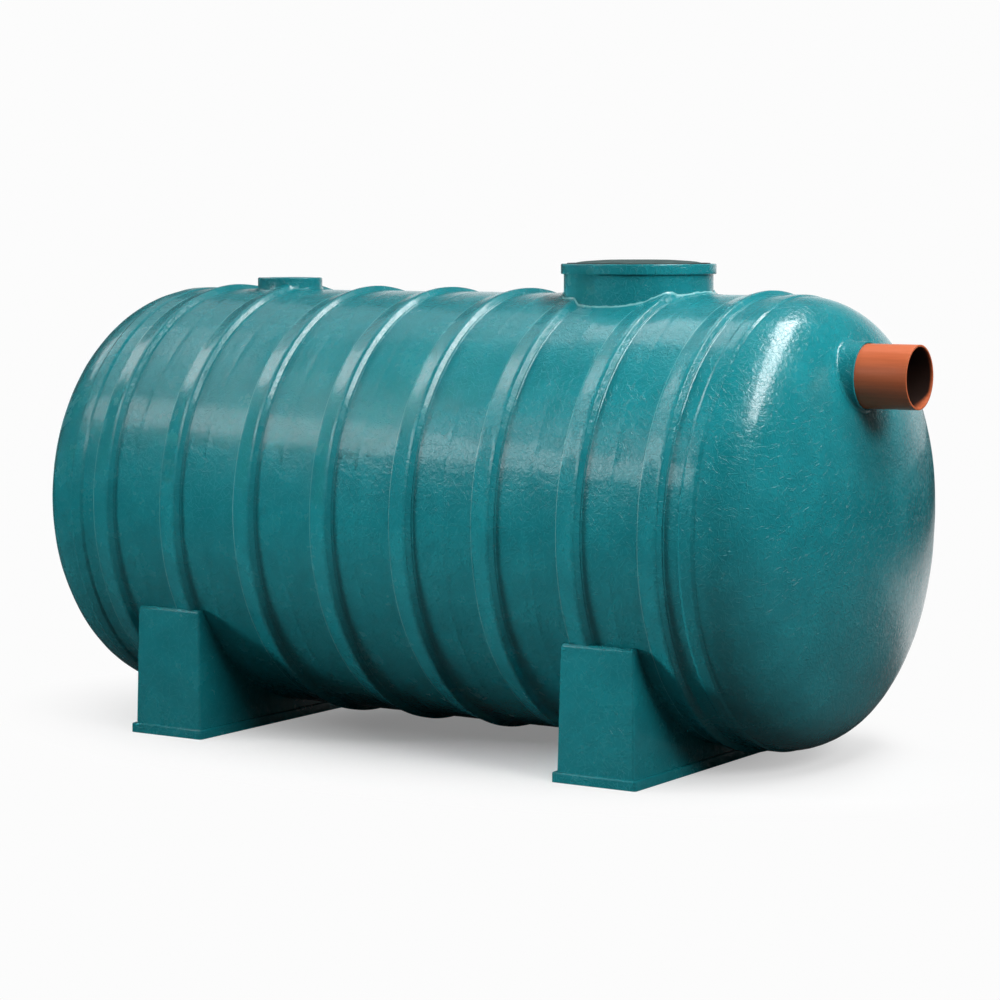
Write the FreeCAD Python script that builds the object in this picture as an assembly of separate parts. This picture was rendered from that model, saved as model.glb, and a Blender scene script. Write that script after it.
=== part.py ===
import FreeCAD, Part
import math
import os

# Underground water tank: a ribbed glass-fibre barrel lying on two saddles, with dished ends, a manway,
# a small open neck and a drain pipe stub. Millimetres, +Z up, the tank axis along X, the pipe at +X.

os.makedirs("parts", exist_ok=True)
V = FreeCAD.Vector

# Shell
TANK_R = 900.0  # outside radius of the barrel
WALL = 8.0  # laminate thickness of barrel and ends
BOND = 0.3  # bond line between laminated pieces
TOP_MARGIN = 6.0  # top stave beyond the manway's neck, each side
STAVE_TURN = 45.0  # degrees of the barrel in each of the other staves

# Hoop ribs
RIB_COUNT = 8
RIB_PITCH = 388.0  # spacing of the inner ribs
END_PITCH = 358.0  # spacing of the last rib and its neighbour
RIB_FOOT = 120.0  # width over the feathered feet
RIB_ROOT = 104.0  # width where the flanks rise
RIB_CREST = 40.0  # width of the crest before rounding
RIB_HEIGHT = 20.0
RIB_EDGE = 2.0  # thickness left at the feet
RIB_ROUND = 16.0  # rounding of the crest and of the flank roots
RIB_STOP = 6.0  # room left for resin where a rib ends at the root of a neck

# Dished ends and the bands over their joints
END_BAY = 152.0  # from the last rib to the end of the barrel
FLANGE = 8.0  # straight part of a dished end
KNUCKLE = 280.0
CROWN = 2000.0
BAND_WIDTH = 64.0
BAND_HEIGHT = 5.0
BAND_ROUND = 2.5

# Manway
MANWAY_SHIFT = -24.0  # manway axis from the middle of the bay between the sixth and seventh ribs
MANWAY_R = 304.0  # outside radius of the neck
MANWAY_RISE = 122.0  # top of the rim above the crown line of the barrel
MANWAY_ROOT = 26.0  # radius laid up between neck and barrel
RIM_OVERHANG = 12.0  # rim beyond the neck
RIM_DEPTH = 42.0
RIM_FLANGE = 24.0  # depth of the rim above the neck's edge
RIM_LEDGE = 38.0  # width of the rim's inward ledge, from the neck's outside
RIM_ROUND = 3.0
REBATE_DEPTH = 14.0  # the cover's seat below the top of the rim
SEAT_WIDTH = 26.0
SEAL_WEB = 4.0  # rubber under the cover
SEAL_BEAD = 6.0  # thickness of the upstanding bead
SEAL_PROUD = 3.0  # bead above the rim
COVER_THICKNESS = 8.0
COVER_ROUND = 2.0

# Barrel taken round a neck to lay up its root on
NECK_MARGIN = 60.0

# Small open neck
NECK_SHIFT = -46.0  # neck axis from the second rib
NECK_R = 141.0
NECK_RISE = 38.0  # top of the neck tube above the crown line
NECK_ROOT = 12.0
LIP_HEIGHT = 14.0
LIP_BEVEL = 9.0
LIP_FLAT = 112.0  # radius of the lip's flat top
LIP_BORE = 94.0
LIP_EDGE = 3.0  # rounding of the lip's edges
LIP_ROUND = 8.0  # rounding between its flat top and its bevel

# Drain pipe stub in the right-hand end
PIPE_R = 125.0
PIPE_WALL = 7.7
PIPE_DROP = 302.0  # pipe axis below the top of the barrel
PIPE_SIDE = -108.0  # pipe axis to the front of the tank's middle plane
STUB_LENGTH = 215.0  # pipe showing beyond the collar
TAIL_LENGTH = 110.0  # pipe reaching inwards from the collar's face
PIPE_KEY = 0.6  # rubbed off the pipe where it is bonded in
KEY_SHOWS = 3.0  # rubbed length that shows beyond the collar
COLLAR_WALL = 9.0
COLLAR_STAND = 10.0  # least height of the collar above the dished end
COLLAR_ROOT = 6.0
COLLAR_ROUND = 2.5

# Saddles and foot plates
SADDLE_SHIFT = 80.0  # saddle centre outboard of the second rib
SADDLE_TOP_LENGTH = 326.0
SADDLE_TOP_WIDTH = 1640.0
SADDLE_DRAFT = 10.0  # each face leans out by this much towards the foot
SADDLE_REACH = 500.0  # height of the horns above the foot plate
SADDLE_BEVEL = 16.0
SADDLE_ROUND = 10.0
SADDLE_FLOOR = 5.0  # saddle left below the rib
FOOT_MARGIN = 16.0  # foot plate beyond the saddle
FOOT_THICKNESS = 40.0
FOOT_CORNER = 14.0
FOOT_ROUND = 6.0


def rounded(points, radii, place):
    """Closed wire through 2-D points with each corner rounded by its radius; place maps to 3-D."""
    count = len(points)
    ends = []
    for i in range(count):
        px, py = points[i]
        ax, ay = points[i - 1]
        bx, by = points[(i + 1) % count]
        ua = V(ax - px, ay - py, 0).normalize()
        ub = V(bx - px, by - py, 0).normalize()
        radius = radii[i]
        if radius <= 0:
            ends.append(((px, py), None, (px, py)))
            continue
        half = ua.getAngle(ub) / 2
        reach = radius / math.tan(half)
        middle = (ua + ub).normalize() * (radius / math.sin(half) - radius)
        ends.append(((px + ua.x * reach, py + ua.y * reach), (px + middle.x, py + middle.y),
                     (px + ub.x * reach, py + ub.y * reach)))
    edges = []
    for i in range(count):
        start, mid, stop = ends[i]
        if mid:
            edges.append(Part.Arc(place(*start), place(*mid), place(*stop)).toShape())
        following = ends[(i + 1) % count][0]
        if math.dist(stop, following) > 1e-6:
            edges.append(Part.makeLine(place(*stop), place(*following)))
    return Part.Wire(edges)


def spin(wire, centre, axis):
    solid = Part.Face(wire).revolve(centre, axis, 360)
    if solid.Volume < 0:
        solid.reverse()
    return solid


def hoop(points, radii, x=0.0, y=0.0, z=0.0):
    """Ring about an axis along X through (y, z), from a profile of (distance along X, radius)."""
    wire = rounded(points, radii, lambda a, r: V(x + a, y, z + r))
    return spin(wire, V(0, y, z), V(1, 0, 0))


def upright_ring(points, radii, x):
    """Ring about a vertical axis at x from a profile of (radius, height)."""
    wire = rounded(points, radii, lambda r, z: V(x + r, 0, z))
    return spin(wire, V(x, 0, 0), V(0, 0, 1))


def rib_places():
    inner = RIB_COUNT - 2
    places = [(i - (inner - 1) / 2) * RIB_PITCH for i in range(inner)]
    return [places[0] - END_PITCH] + places + [places[-1] + END_PITCH]


RIB_X = rib_places()
MANWAY_X = (RIB_X[-3] + RIB_X[-2]) / 2 + MANWAY_SHIFT
NECK_X = RIB_X[1] + NECK_SHIFT
BARREL_END = RIB_X[-1] + END_BAY
TANGENT = BARREL_END + FLANGE
CROWN_TOP = TANK_R + MANWAY_RISE
PIPE_Z = TANK_R - PIPE_DROP
FOOT_TOP = -(TANK_R + RIB_HEIGHT + SADDLE_FLOOR)
GROUND = FOOT_TOP - FOOT_THICKNESS


def dish_depth():
    return CROWN - math.sqrt((CROWN - KNUCKLE) ** 2 - (TANK_R - KNUCKLE) ** 2)


APEX = TANGENT + dish_depth()


def dish_x(radius):
    """Outside of the crown at a distance from the tank axis."""
    return APEX - CROWN + math.sqrt(CROWN ** 2 - radius ** 2)


def rib(x, grow=0.0):
    foot, root, crest = RIB_FOOT / 2 + grow, RIB_ROOT / 2 + grow, RIB_CREST / 2 + grow
    low, edge, top = TANK_R + BOND - grow, TANK_R + RIB_EDGE + grow, TANK_R + RIB_HEIGHT + grow
    points = [(-foot, low), (-foot, edge), (-root, edge), (-crest, top),
              (crest, top), (root, edge), (foot, edge), (foot, low)]
    radii = [0, 0, RIB_ROUND, RIB_ROUND, RIB_ROUND, RIB_ROUND, 0, 0]
    return hoop(points, radii, x)


def dished_end(side):
    """Straight flange, knuckle and crown as one shell."""
    turn = math.asin((TANK_R - KNUCKLE) / (CROWN - KNUCKLE))
    centre = APEX - CROWN

    def meridian(offset):
        knuckle, crown = KNUCKLE - offset, CROWN - offset
        bend = (math.pi / 2 - turn) / 2

        def on_knuckle(angle):
            return V(side * (TANGENT + knuckle * math.sin(angle)), 0,
                     TANK_R - KNUCKLE + knuckle * math.cos(angle))

        def on_crown(angle):
            return V(side * (centre + crown * math.cos(angle)), 0, crown * math.sin(angle))

        start = V(side * BARREL_END, 0, TANK_R - offset)
        return [Part.makeLine(start, on_knuckle(0)),
                Part.Arc(on_knuckle(0), on_knuckle(bend), on_crown(turn)).toShape(),
                Part.Arc(on_crown(turn), on_crown(turn / 2), on_crown(0)).toShape()], start, on_crown(0)

    outer, rim, tip = meridian(0.0)
    inner, inner_rim, inner_tip = meridian(WALL)
    wire = Part.Wire(outer + [Part.makeLine(tip, inner_tip)] + inner[::-1] + [Part.makeLine(inner_rim, rim)])
    return spin(wire, V(0, 0, 0), V(1, 0, 0))


def filleted_root(base, post, radius, on_seam):
    """Post standing on a base with a radius laid up round its foot, without the base itself."""
    joined = base.fuse(post)
    seam = [e for e in joined.Edges if not e.Degenerated and all(on_seam(p) for p in e.discretize(7))]
    return joined.makeFillet(radius, seam).cut(base)


def neck_body(x, radius, top, root, grow=0.0):
    """Upright post on the barrel with its root radius, still solid inside."""
    skin, outer = TANK_R + BOND - grow, radius + grow
    reach = radius + root + NECK_MARGIN
    base = Part.makeCylinder(skin, 2 * reach, V(x - reach, 0, 0), V(1, 0, 0))
    post = Part.makeCylinder(outer, top, V(x, 0, 0), V(0, 0, 1))

    def on_seam(p):
        return (abs(math.hypot(p.y, p.z) - skin) < 0.05 and abs(math.hypot(p.x - x, p.y) - outer) < 0.05)

    return filleted_root(base, post, root, on_seam)


parts = {}

# Barrel in staves along its length, open at both ends and under each neck
top_half = math.degrees(math.asin((MANWAY_R + TOP_MARGIN) / TANK_R))
staves = {"barrel_top": (-top_half, top_half), "barrel_front_shoulder": (top_half, STAVE_TURN),
          "barrel_back_shoulder": (-STAVE_TURN, -top_half)}
for number, name in enumerate(("front_upper", "front_lower", "bottom_front", "bottom_back",
                               "back_lower", "back_upper"), 1):
    staves["barrel_" + name] = (number * STAVE_TURN, (number + 1) * STAVE_TURN)
bond_turn = math.degrees(BOND / TANK_R)
for name, (start, stop) in staves.items():
    section = rounded([(-BARREL_END, TANK_R - WALL), (BARREL_END, TANK_R - WALL), (BARREL_END, TANK_R),
                       (-BARREL_END, TANK_R)], [0] * 4, lambda a, r: V(a, 0, r))
    stave = Part.Face(section).revolve(V(0, 0, 0), V(1, 0, 0), stop - start - bond_turn)
    if stave.Volume < 0:
        stave.reverse()
    stave.rotate(V(0, 0, 0), V(1, 0, 0), start + bond_turn / 2)
    parts[name] = stave
for x, radius in ((MANWAY_X, MANWAY_R), (NECK_X, NECK_R)):
    hole = Part.makeCylinder(radius - WALL, 2 * TANK_R, V(x, 0, 0), V(0, 0, 1))
    parts["barrel_top"] = parts["barrel_top"].cut(hole)

# Necks on the barrel
rim_seat = CROWN_TOP - RIM_FLANGE
neck_top = TANK_R + NECK_RISE
necks = {"manway_neck": (MANWAY_X, MANWAY_R, rim_seat, MANWAY_ROOT),
         "small_neck": (NECK_X, NECK_R, neck_top, NECK_ROOT)}
for name, (x, radius, top, root) in necks.items():
    bore = Part.makeCylinder(radius - WALL, 2 * top, V(x, 0, 0), V(0, 0, 1))
    parts[name] = neck_body(x, radius, top, root).cut(bore)

# Hoop ribs, stopped where a neck stands in their way
neck_room = [neck_body(x, radius, top, root + RIB_STOP, BOND) for x, radius, top, root in necks.values()]
for number, x in enumerate(RIB_X, 1):
    ring = rib(x)
    for room in neck_room:
        if ring.BoundBox.intersect(room.BoundBox):
            ring = ring.cut(room)
    parts["rib_%d" % number] = ring

# Dished ends and the laminate bands over their joints
parts["dished_end_left"] = dished_end(-1)
keyed_r = PIPE_R - PIPE_KEY
pipe_hole = Part.makeCylinder(keyed_r + BOND, 2 * APEX, V(0, PIPE_SIDE, PIPE_Z), V(1, 0, 0))
parts["dished_end_right"] = dished_end(1).cut(pipe_hole)
half_band = BAND_WIDTH / 2
bend = min(FLANGE, half_band)
fall = KNUCKLE - math.sqrt(KNUCKLE ** 2 - (half_band - bend) ** 2)
for name, side in (("joint_band_left", -1), ("joint_band_right", 1)):
    low, high = TANK_R + BOND, TANK_R + BAND_HEIGHT
    profile = [(-half_band, low), (-half_band, high), (half_band, high - fall), (half_band, low - fall),
               (bend, low)]
    profile = [(side * a, r) for a, r in profile]
    parts[name] = hoop(profile, [0, BAND_ROUND, BAND_ROUND, 0, 0], side * BARREL_END)

# Manway rim with the rebate for the cover, its rubber seal and the cover
rim_r = MANWAY_R + RIM_OVERHANG
ledge_r = MANWAY_R - RIM_LEDGE
rebate_r = ledge_r + SEAT_WIDTH
rebate_z = CROWN_TOP - REBATE_DEPTH
rim_points = [(ledge_r, rim_seat), (ledge_r, rebate_z), (rebate_r, rebate_z), (rebate_r, CROWN_TOP),
              (rim_r, CROWN_TOP), (rim_r, CROWN_TOP - RIM_DEPTH),
              (MANWAY_R + BOND, CROWN_TOP - RIM_DEPTH), (MANWAY_R + BOND, rim_seat)]
parts["manway_rim"] = upright_ring(rim_points, [0, 0, 0, RIM_ROUND, RIM_ROUND, RIM_ROUND, 0, 0], MANWAY_X)

seal_r = rebate_r - BOND
bead_r = seal_r - SEAL_BEAD
bead_z = CROWN_TOP + SEAL_PROUD
web_z = rebate_z + SEAL_WEB
seal_points = [(ledge_r, rebate_z), (ledge_r, web_z), (bead_r, web_z), (bead_r, bead_z),
               (seal_r, bead_z), (seal_r, rebate_z)]
bead_round = 0.45 * SEAL_BEAD
parts["manway_seal"] = upright_ring(seal_points, [0, 0, 0, bead_round, bead_round, 0], MANWAY_X)

cover = Part.makeCylinder(bead_r - BOND, COVER_THICKNESS, V(MANWAY_X, 0, web_z))
top_edges = [e for e in cover.Edges if e.BoundBox.ZMin > web_z + COVER_THICKNESS / 2]
parts["manway_cover"] = cover.makeFillet(COVER_ROUND, top_edges)

# Lip that turns in over the small neck
lip_top = neck_top + LIP_HEIGHT
lip_points = [(LIP_BORE, neck_top), (LIP_BORE, lip_top), (LIP_FLAT, lip_top),
              (NECK_R, lip_top - LIP_BEVEL), (NECK_R, neck_top)]
parts["small_neck_lip"] = upright_ring(lip_points, [0, LIP_EDGE, LIP_ROUND, LIP_EDGE, 0], NECK_X)

# Collar on the crown of the right-hand end and the pipe through it
collar_r = PIPE_R + BOND + COLLAR_WALL
collar_face = dish_x(math.hypot(PIPE_SIDE, PIPE_Z) - collar_r) + COLLAR_STAND
crown_centre = V(APEX - CROWN, 0, 0)
collar_room = collar_r + 4 * COLLAR_WALL
pipe_start = V(BARREL_END, PIPE_SIDE, PIPE_Z)
crown_base = Part.makeSphere(CROWN, crown_centre).common(
    Part.makeCylinder(collar_room, APEX - BARREL_END, pipe_start, V(1, 0, 0)))
post = Part.makeCylinder(collar_r, collar_face - BARREL_END, pipe_start, V(1, 0, 0))
front = [e for e in post.Edges if e.BoundBox.XMin > collar_face - 1]
post = post.makeFillet(COLLAR_ROUND, front)


def on_collar_seam(p):
    at_post = abs(math.hypot(p.y - PIPE_SIDE, p.z - PIPE_Z) - collar_r) < 0.05
    return at_post and abs(p.distanceToPoint(crown_centre) - CROWN) < 0.05


collar = filleted_root(crown_base, post, COLLAR_ROOT, on_collar_seam)
parts["pipe_collar"] = collar.cut(pipe_hole)
pipe_bore_r = PIPE_R - PIPE_WALL
pipe_profile = [(-TAIL_LENGTH, pipe_bore_r), (-TAIL_LENGTH, keyed_r), (KEY_SHOWS, keyed_r),
                (KEY_SHOWS, PIPE_R), (STUB_LENGTH, PIPE_R), (STUB_LENGTH, pipe_bore_r)]
parts["drain_pipe"] = hoop(pipe_profile, [0] * 6, collar_face, PIPE_SIDE, PIPE_Z)

# Saddles hollowed to the barrel and grooved for the rib that runs through them
saddle_x = RIB_X[-2] + SADDLE_SHIFT
saddle_top = FOOT_TOP + SADDLE_REACH
foot_length = SADDLE_TOP_LENGTH + 2 * SADDLE_DRAFT
foot_width = SADDLE_TOP_WIDTH + 2 * SADDLE_DRAFT


def saddle_block(centre):
    """Drafted block with bevelled brows: the front outline and the side outline, intersected."""
    low, high, bevel = foot_width / 2, SADDLE_TOP_WIDTH / 2, SADDLE_BEVEL
    across = [(-low, FOOT_TOP), (-high, saddle_top - bevel), (bevel - high, saddle_top),
              (high - bevel, saddle_top), (high, saddle_top - bevel), (low, FOOT_TOP)]
    front = rounded(across, [0] * 6, lambda y, z: V(centre - foot_length, y, z))
    low, high = foot_length / 2, SADDLE_TOP_LENGTH / 2
    along = [(-low, FOOT_TOP), (-high, saddle_top), (high, saddle_top), (low, FOOT_TOP)]
    end = rounded(along, [0] * 4, lambda x, z: V(centre + x, -foot_width, z))
    block = Part.Face(front).extrude(V(2 * foot_length, 0, 0)).common(
        Part.Face(end).extrude(V(0, 2 * foot_width, 0)))
    corners = [e for e in block.Edges if e.BoundBox.ZLength > SADDLE_BEVEL / 2]
    corners = [e for e in corners if e.BoundBox.XLength < SADDLE_TOP_LENGTH / 2]
    return block.makeFillet(SADDLE_ROUND, corners)


for name, side in (("left", -1), ("right", 1)):
    centre = side * saddle_x
    bed = Part.makeCylinder(TANK_R + BOND, 2 * foot_length, V(centre - foot_length, 0, 0), V(1, 0, 0))
    parts["saddle_" + name] = saddle_block(centre).cut(bed).cut(rib(side * RIB_X[-2], BOND))

    plate_length, plate_width = foot_length + 2 * FOOT_MARGIN, foot_width + 2 * FOOT_MARGIN
    plate = Part.makeBox(plate_length, plate_width, FOOT_THICKNESS,
                         V(centre - plate_length / 2, -plate_width / 2, GROUND))
    uprights = [e for e in plate.Edges if e.BoundBox.ZLength > FOOT_THICKNESS / 2]
    plate = plate.makeFillet(FOOT_CORNER, uprights)
    brim = [e for e in plate.Edges if e.BoundBox.ZMin > FOOT_TOP - 1]
    parts["foot_plate_" + name] = plate.makeFillet(FOOT_ROUND, brim)

# The origin lies on the ground under the middle of the whole length
middle = (collar_face + STUB_LENGTH - APEX) / 2
for name, shape in parts.items():
    shape.translate(V(-middle, 0, -GROUND))
    shape.exportStep("parts/%s.step" % name)
    print(name, shape.ShapeType, len(shape.Solids), shape.isValid(), round(shape.Volume / 1e6, 3))
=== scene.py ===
# %% [markdown]
# An underground water tank, dressed for the camera. The real tank is laid up by hand from chopped glass
# strands and polyester resin: a ribbed barrel between two dished ends, a manway with a slightly crowned
# cover, a small open neck, a drain pipe stub in a collar, and two saddles on foot plates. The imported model
# gives every size and place, so it is loaded first, and each piece below is drawn over the solid that it
# stands for.

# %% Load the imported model
import math

import bmesh
import bpy
from mathutils import Matrix, Vector


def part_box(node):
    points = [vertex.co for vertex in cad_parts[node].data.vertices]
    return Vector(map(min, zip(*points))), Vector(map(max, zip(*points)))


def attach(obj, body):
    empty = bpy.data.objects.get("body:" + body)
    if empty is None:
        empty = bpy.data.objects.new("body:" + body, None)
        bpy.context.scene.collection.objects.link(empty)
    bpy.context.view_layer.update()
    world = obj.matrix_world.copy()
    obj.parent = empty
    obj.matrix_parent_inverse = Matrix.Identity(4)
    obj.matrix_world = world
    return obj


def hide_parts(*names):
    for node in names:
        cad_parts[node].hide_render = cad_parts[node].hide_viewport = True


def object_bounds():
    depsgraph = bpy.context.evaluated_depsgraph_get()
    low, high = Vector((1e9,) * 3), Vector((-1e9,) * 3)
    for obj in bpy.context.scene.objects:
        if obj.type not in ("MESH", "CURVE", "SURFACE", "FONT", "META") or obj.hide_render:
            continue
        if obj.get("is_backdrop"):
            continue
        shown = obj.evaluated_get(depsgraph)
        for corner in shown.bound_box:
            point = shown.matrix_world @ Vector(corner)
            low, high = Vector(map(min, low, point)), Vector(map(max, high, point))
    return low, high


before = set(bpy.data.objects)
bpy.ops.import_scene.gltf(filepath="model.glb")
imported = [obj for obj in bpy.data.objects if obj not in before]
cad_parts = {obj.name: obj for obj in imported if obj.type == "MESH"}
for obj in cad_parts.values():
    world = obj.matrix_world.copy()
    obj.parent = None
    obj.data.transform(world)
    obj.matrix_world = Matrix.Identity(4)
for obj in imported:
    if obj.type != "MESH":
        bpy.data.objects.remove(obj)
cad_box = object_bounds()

print("nodes in the packed model:", len(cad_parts))

# %% [markdown]
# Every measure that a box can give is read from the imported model. The rest, such as the thickness of the
# wall, is a named value with the same size as in the solids. All measures are in metres.

# %% Measures of the tank
end_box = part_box("dished_end_left")
far_end_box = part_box("dished_end_right")
AXIS_Z = (end_box[0].z + end_box[1].z) / 2
TANK_R = (end_box[1].z - end_box[0].z) / 2
SKIN_Z = AXIS_Z + TANK_R
JOINT_X = (end_box[1].x, far_end_box[0].x)
APEX_X = (end_box[0].x, far_end_box[1].x)
RIB_NODES = ["rib_%d" % number for number in range(1, 9)]
rib_boxes = [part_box(node) for node in RIB_NODES]
RIB_X = [(low.x + high.x) / 2 for low, high in rib_boxes]
RIB_FOOT = (rib_boxes[0][1].x - rib_boxes[0][0].x) / 2
RIB_TOP = (rib_boxes[0][1].y - rib_boxes[0][0].y) / 2
WALL = 0.008
KNUCKLE_R = 0.280
CROWN_R = 2.000
FLANGE = 0.008
print("tank radius %.3f m, axis at %.3f m, ribs at" % (TANK_R, AXIS_Z), [round(x, 3) for x in RIB_X])

# %% [markdown]
# Most pieces of the tank are turned shapes. A turned shape could start from a cylinder, but its rounded
# corners are easier to draw: one vertex is a pencil, extrude draws a straight run, and spin draws an arc.
# The outline is then spun round its axis, as a clay pot is thrown.

# %% A pencil for outlines
PENCIL_POINT = 0.01
ARC_STEP = math.radians(11)
ONE_STEP = 1.0
STEP_SLACK = 0.001
MERGE = 0.00001


def clear_selection():
    if bpy.context.object and bpy.context.object.mode != "OBJECT":
        bpy.ops.object.mode_set(mode="OBJECT")
    bpy.ops.object.select_all(action="DESELECT")


def pencil_down(name, start):
    """One vertex in the plane y = 0, at (x, z), in edit mode."""
    clear_selection()
    bpy.ops.mesh.primitive_plane_add(size=PENCIL_POINT, enter_editmode=True, location=(0, 0, 0))
    bpy.context.object.name = name
    bpy.ops.mesh.select_mode(type="VERT")
    bpy.ops.mesh.merge(type="CENTER")
    bpy.ops.transform.translate(value=(start.x, 0, start.y))
    return bpy.context.object


def draw_line(run, longest=ONE_STEP):
    """Straight run from the pencil, in equal steps no longer than the longest."""
    if run.length < MERGE:
        return
    steps = max(1, math.ceil(run.length / longest - STEP_SLACK))
    for _ in range(steps):
        bpy.ops.mesh.extrude_region_move(TRANSFORM_OT_translate={"value": (run.x / steps, 0, run.y / steps)})


def draw_arc(centre, turn, steps=None):
    """Arc from the pencil about a centre (x, z); a positive turn goes from +X to +Z."""
    if steps is None:
        steps = max(2, math.ceil(abs(turn) / ARC_STEP))
    bpy.ops.mesh.spin(steps=steps, angle=turn, center=(centre.x, 0, centre.y), axis=(0, 1, 0))


print("pencil ready: arcs in steps of %.0f degrees" % math.degrees(ARC_STEP))

# %% Outlines with rounded corners
def draw_outline(name, corners, longest=ONE_STEP):
    """Closed outline through corners (x, z, rounding), each corner rounded by an arc. A fourth value, where
    a corner has one, is the longest step of the run that leads to it."""
    count = len(corners)
    spots = [Vector(corner[:2]) for corner in corners]
    arcs = []
    for i, spot in enumerate(spots):
        back = (spots[i - 1] - spot).normalized()
        ahead = (spots[(i + 1) % count] - spot).normalized()
        rounding = corners[i][2]
        half = back.angle(ahead) / 2
        reach = rounding / math.tan(half)
        centre = spot + (back + ahead).normalized() * (rounding / math.sin(half)) if rounding else spot
        turn = math.copysign(math.pi - 2 * half, -back.cross(ahead))
        arcs.append((spot + back * reach, centre, turn, spot + ahead * reach))
    piece = pencil_down(name, arcs[0][3])
    for i in list(range(1, count)) + [0]:
        enter, centre, turn, _ = arcs[i]
        draw_line(enter - arcs[i - 1][3], corners[i][3] if len(corners[i]) > 3 else longest)
        if corners[i][2]:
            draw_arc(centre, turn)
    return piece


print("outlines ready: a straight run is one step up to %.1f m" % ONE_STEP)

# %% Turning, smoothing and modifiers
SMOOTH_ANGLE = 38
BLOCK_ANGLE = 30


def close_piece():
    """Merges what lies on one spot, turns the faces outwards and leaves edit mode."""
    bpy.ops.mesh.select_all(action="SELECT")
    bpy.ops.mesh.remove_doubles(threshold=MERGE)
    bpy.ops.mesh.select_all(action="SELECT")
    bpy.ops.mesh.normals_make_consistent(inside=False)
    bpy.ops.object.mode_set(mode="OBJECT")


def spin_outline(centre, axis, steps):
    """The outline in hand turned into a closed piece."""
    bpy.ops.mesh.select_all(action="SELECT")
    bpy.ops.mesh.remove_doubles(threshold=MERGE)
    bpy.ops.mesh.select_all(action="SELECT")
    bpy.ops.mesh.spin(steps=steps, angle=2 * math.pi, center=centre, axis=axis)
    close_piece()


def pick(piece):
    """Makes a piece the active one, and the only one selected."""
    clear_selection()
    bpy.context.view_layer.objects.active = piece
    piece.select_set(True)


def smooth(piece, degrees=SMOOTH_ANGLE):
    pick(piece)
    bpy.ops.object.shade_smooth_by_angle(angle=math.radians(degrees))


def use_modifier(piece, kind, **settings):
    """A modifier added to a piece, set, and applied at once."""
    pick(piece)
    bpy.ops.object.modifier_add(type=kind)
    modifier = piece.modifiers[-1]
    for setting, value in settings.items():
        setattr(modifier, setting, value)
    bpy.ops.object.modifier_apply(modifier=modifier.name)


print("turned pieces are smooth below %d degrees, blocks below %d" % (SMOOTH_ANGLE, BLOCK_ANGLE))

# %% [markdown]
# A finish is a small net of nodes. Nodes could be added and joined one by one, but short helpers keep a
# finish readable: one adds a node with its inputs, which are numbers or sockets of other nodes, and others
# add a sum, a smooth step between two values, or a blend of two colours.

# %% Helpers for material nodes
BLEND_FACTOR, BLEND_FIRST, BLEND_SECOND = 0, 6, 7
BLEND_RESULT = 2
NUMBER_RESULTS = ("DOT_PRODUCT", "LENGTH")


def add_node(tree, kind, inputs=(), **settings):
    node = tree.nodes.new(kind)
    for setting, value in settings.items():
        setattr(node, setting, value)
    pairs = inputs.items() if isinstance(inputs, dict) else enumerate(inputs)
    for key, value in pairs:
        if isinstance(value, bpy.types.NodeSocket):
            tree.links.new(value, node.inputs[key])
        else:
            node.inputs[key].default_value = value
    return node


def maths(tree, operation, *inputs):
    return add_node(tree, "ShaderNodeMath", inputs, operation=operation).outputs[0]


def vectors(tree, operation, *inputs):
    node = add_node(tree, "ShaderNodeVectorMath", inputs, operation=operation)
    return node.outputs["Value" if operation in NUMBER_RESULTS else "Vector"]


def soft_step(tree, value, start, stop, low=0.0, high=1.0):
    return add_node(tree, "ShaderNodeMapRange", (value, start, stop, low, high),
                    interpolation_type="SMOOTHSTEP").outputs["Result"]


def blend_colours(tree, factor, first, second):
    inputs = {BLEND_FACTOR: factor, BLEND_FIRST: first, BLEND_SECOND: second}
    return add_node(tree, "ShaderNodeMix", inputs, data_type="RGBA").outputs[BLEND_RESULT]


print("node helpers ready")

# %% Helpers for groups and materials
def group_with(name, inputs, outputs):
    """Empty shader node group with named sockets, and its two end nodes."""
    tree = bpy.data.node_groups.new(name, "ShaderNodeTree")
    for label, kind in inputs:
        tree.interface.new_socket(label, in_out="INPUT", socket_type=kind)
    for label, kind in outputs:
        tree.interface.new_socket(label, in_out="OUTPUT", socket_type=kind)
    return tree, tree.nodes.new("NodeGroupInput"), tree.nodes.new("NodeGroupOutput")


def new_material(name):
    material = bpy.data.materials.new(name)
    material.use_nodes = True
    tree = material.node_tree
    return material, tree, tree.nodes["Principled BSDF"]


def grey(level):
    return (level, level, level, 1)


print("group and material helpers ready")

# %% [markdown]
# In the tank's teal gelcoat, the chopped strands of the laminate show as fine, paler lines that lie in every
# direction. An image of strands would be the quick way, but it would need a file. Here each cell of a
# Voronoi pattern holds one strand: the cell's own colour gives the strand's direction, laid flat on the
# surface by its normal, and the distance from the strand's line, which bows a little, gives a mask.

# %% One layer of chopped strands
STRAND_BOW = 3.0
STRAND_CORE = 0.25
STRAND_TAPER = 0.8


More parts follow.
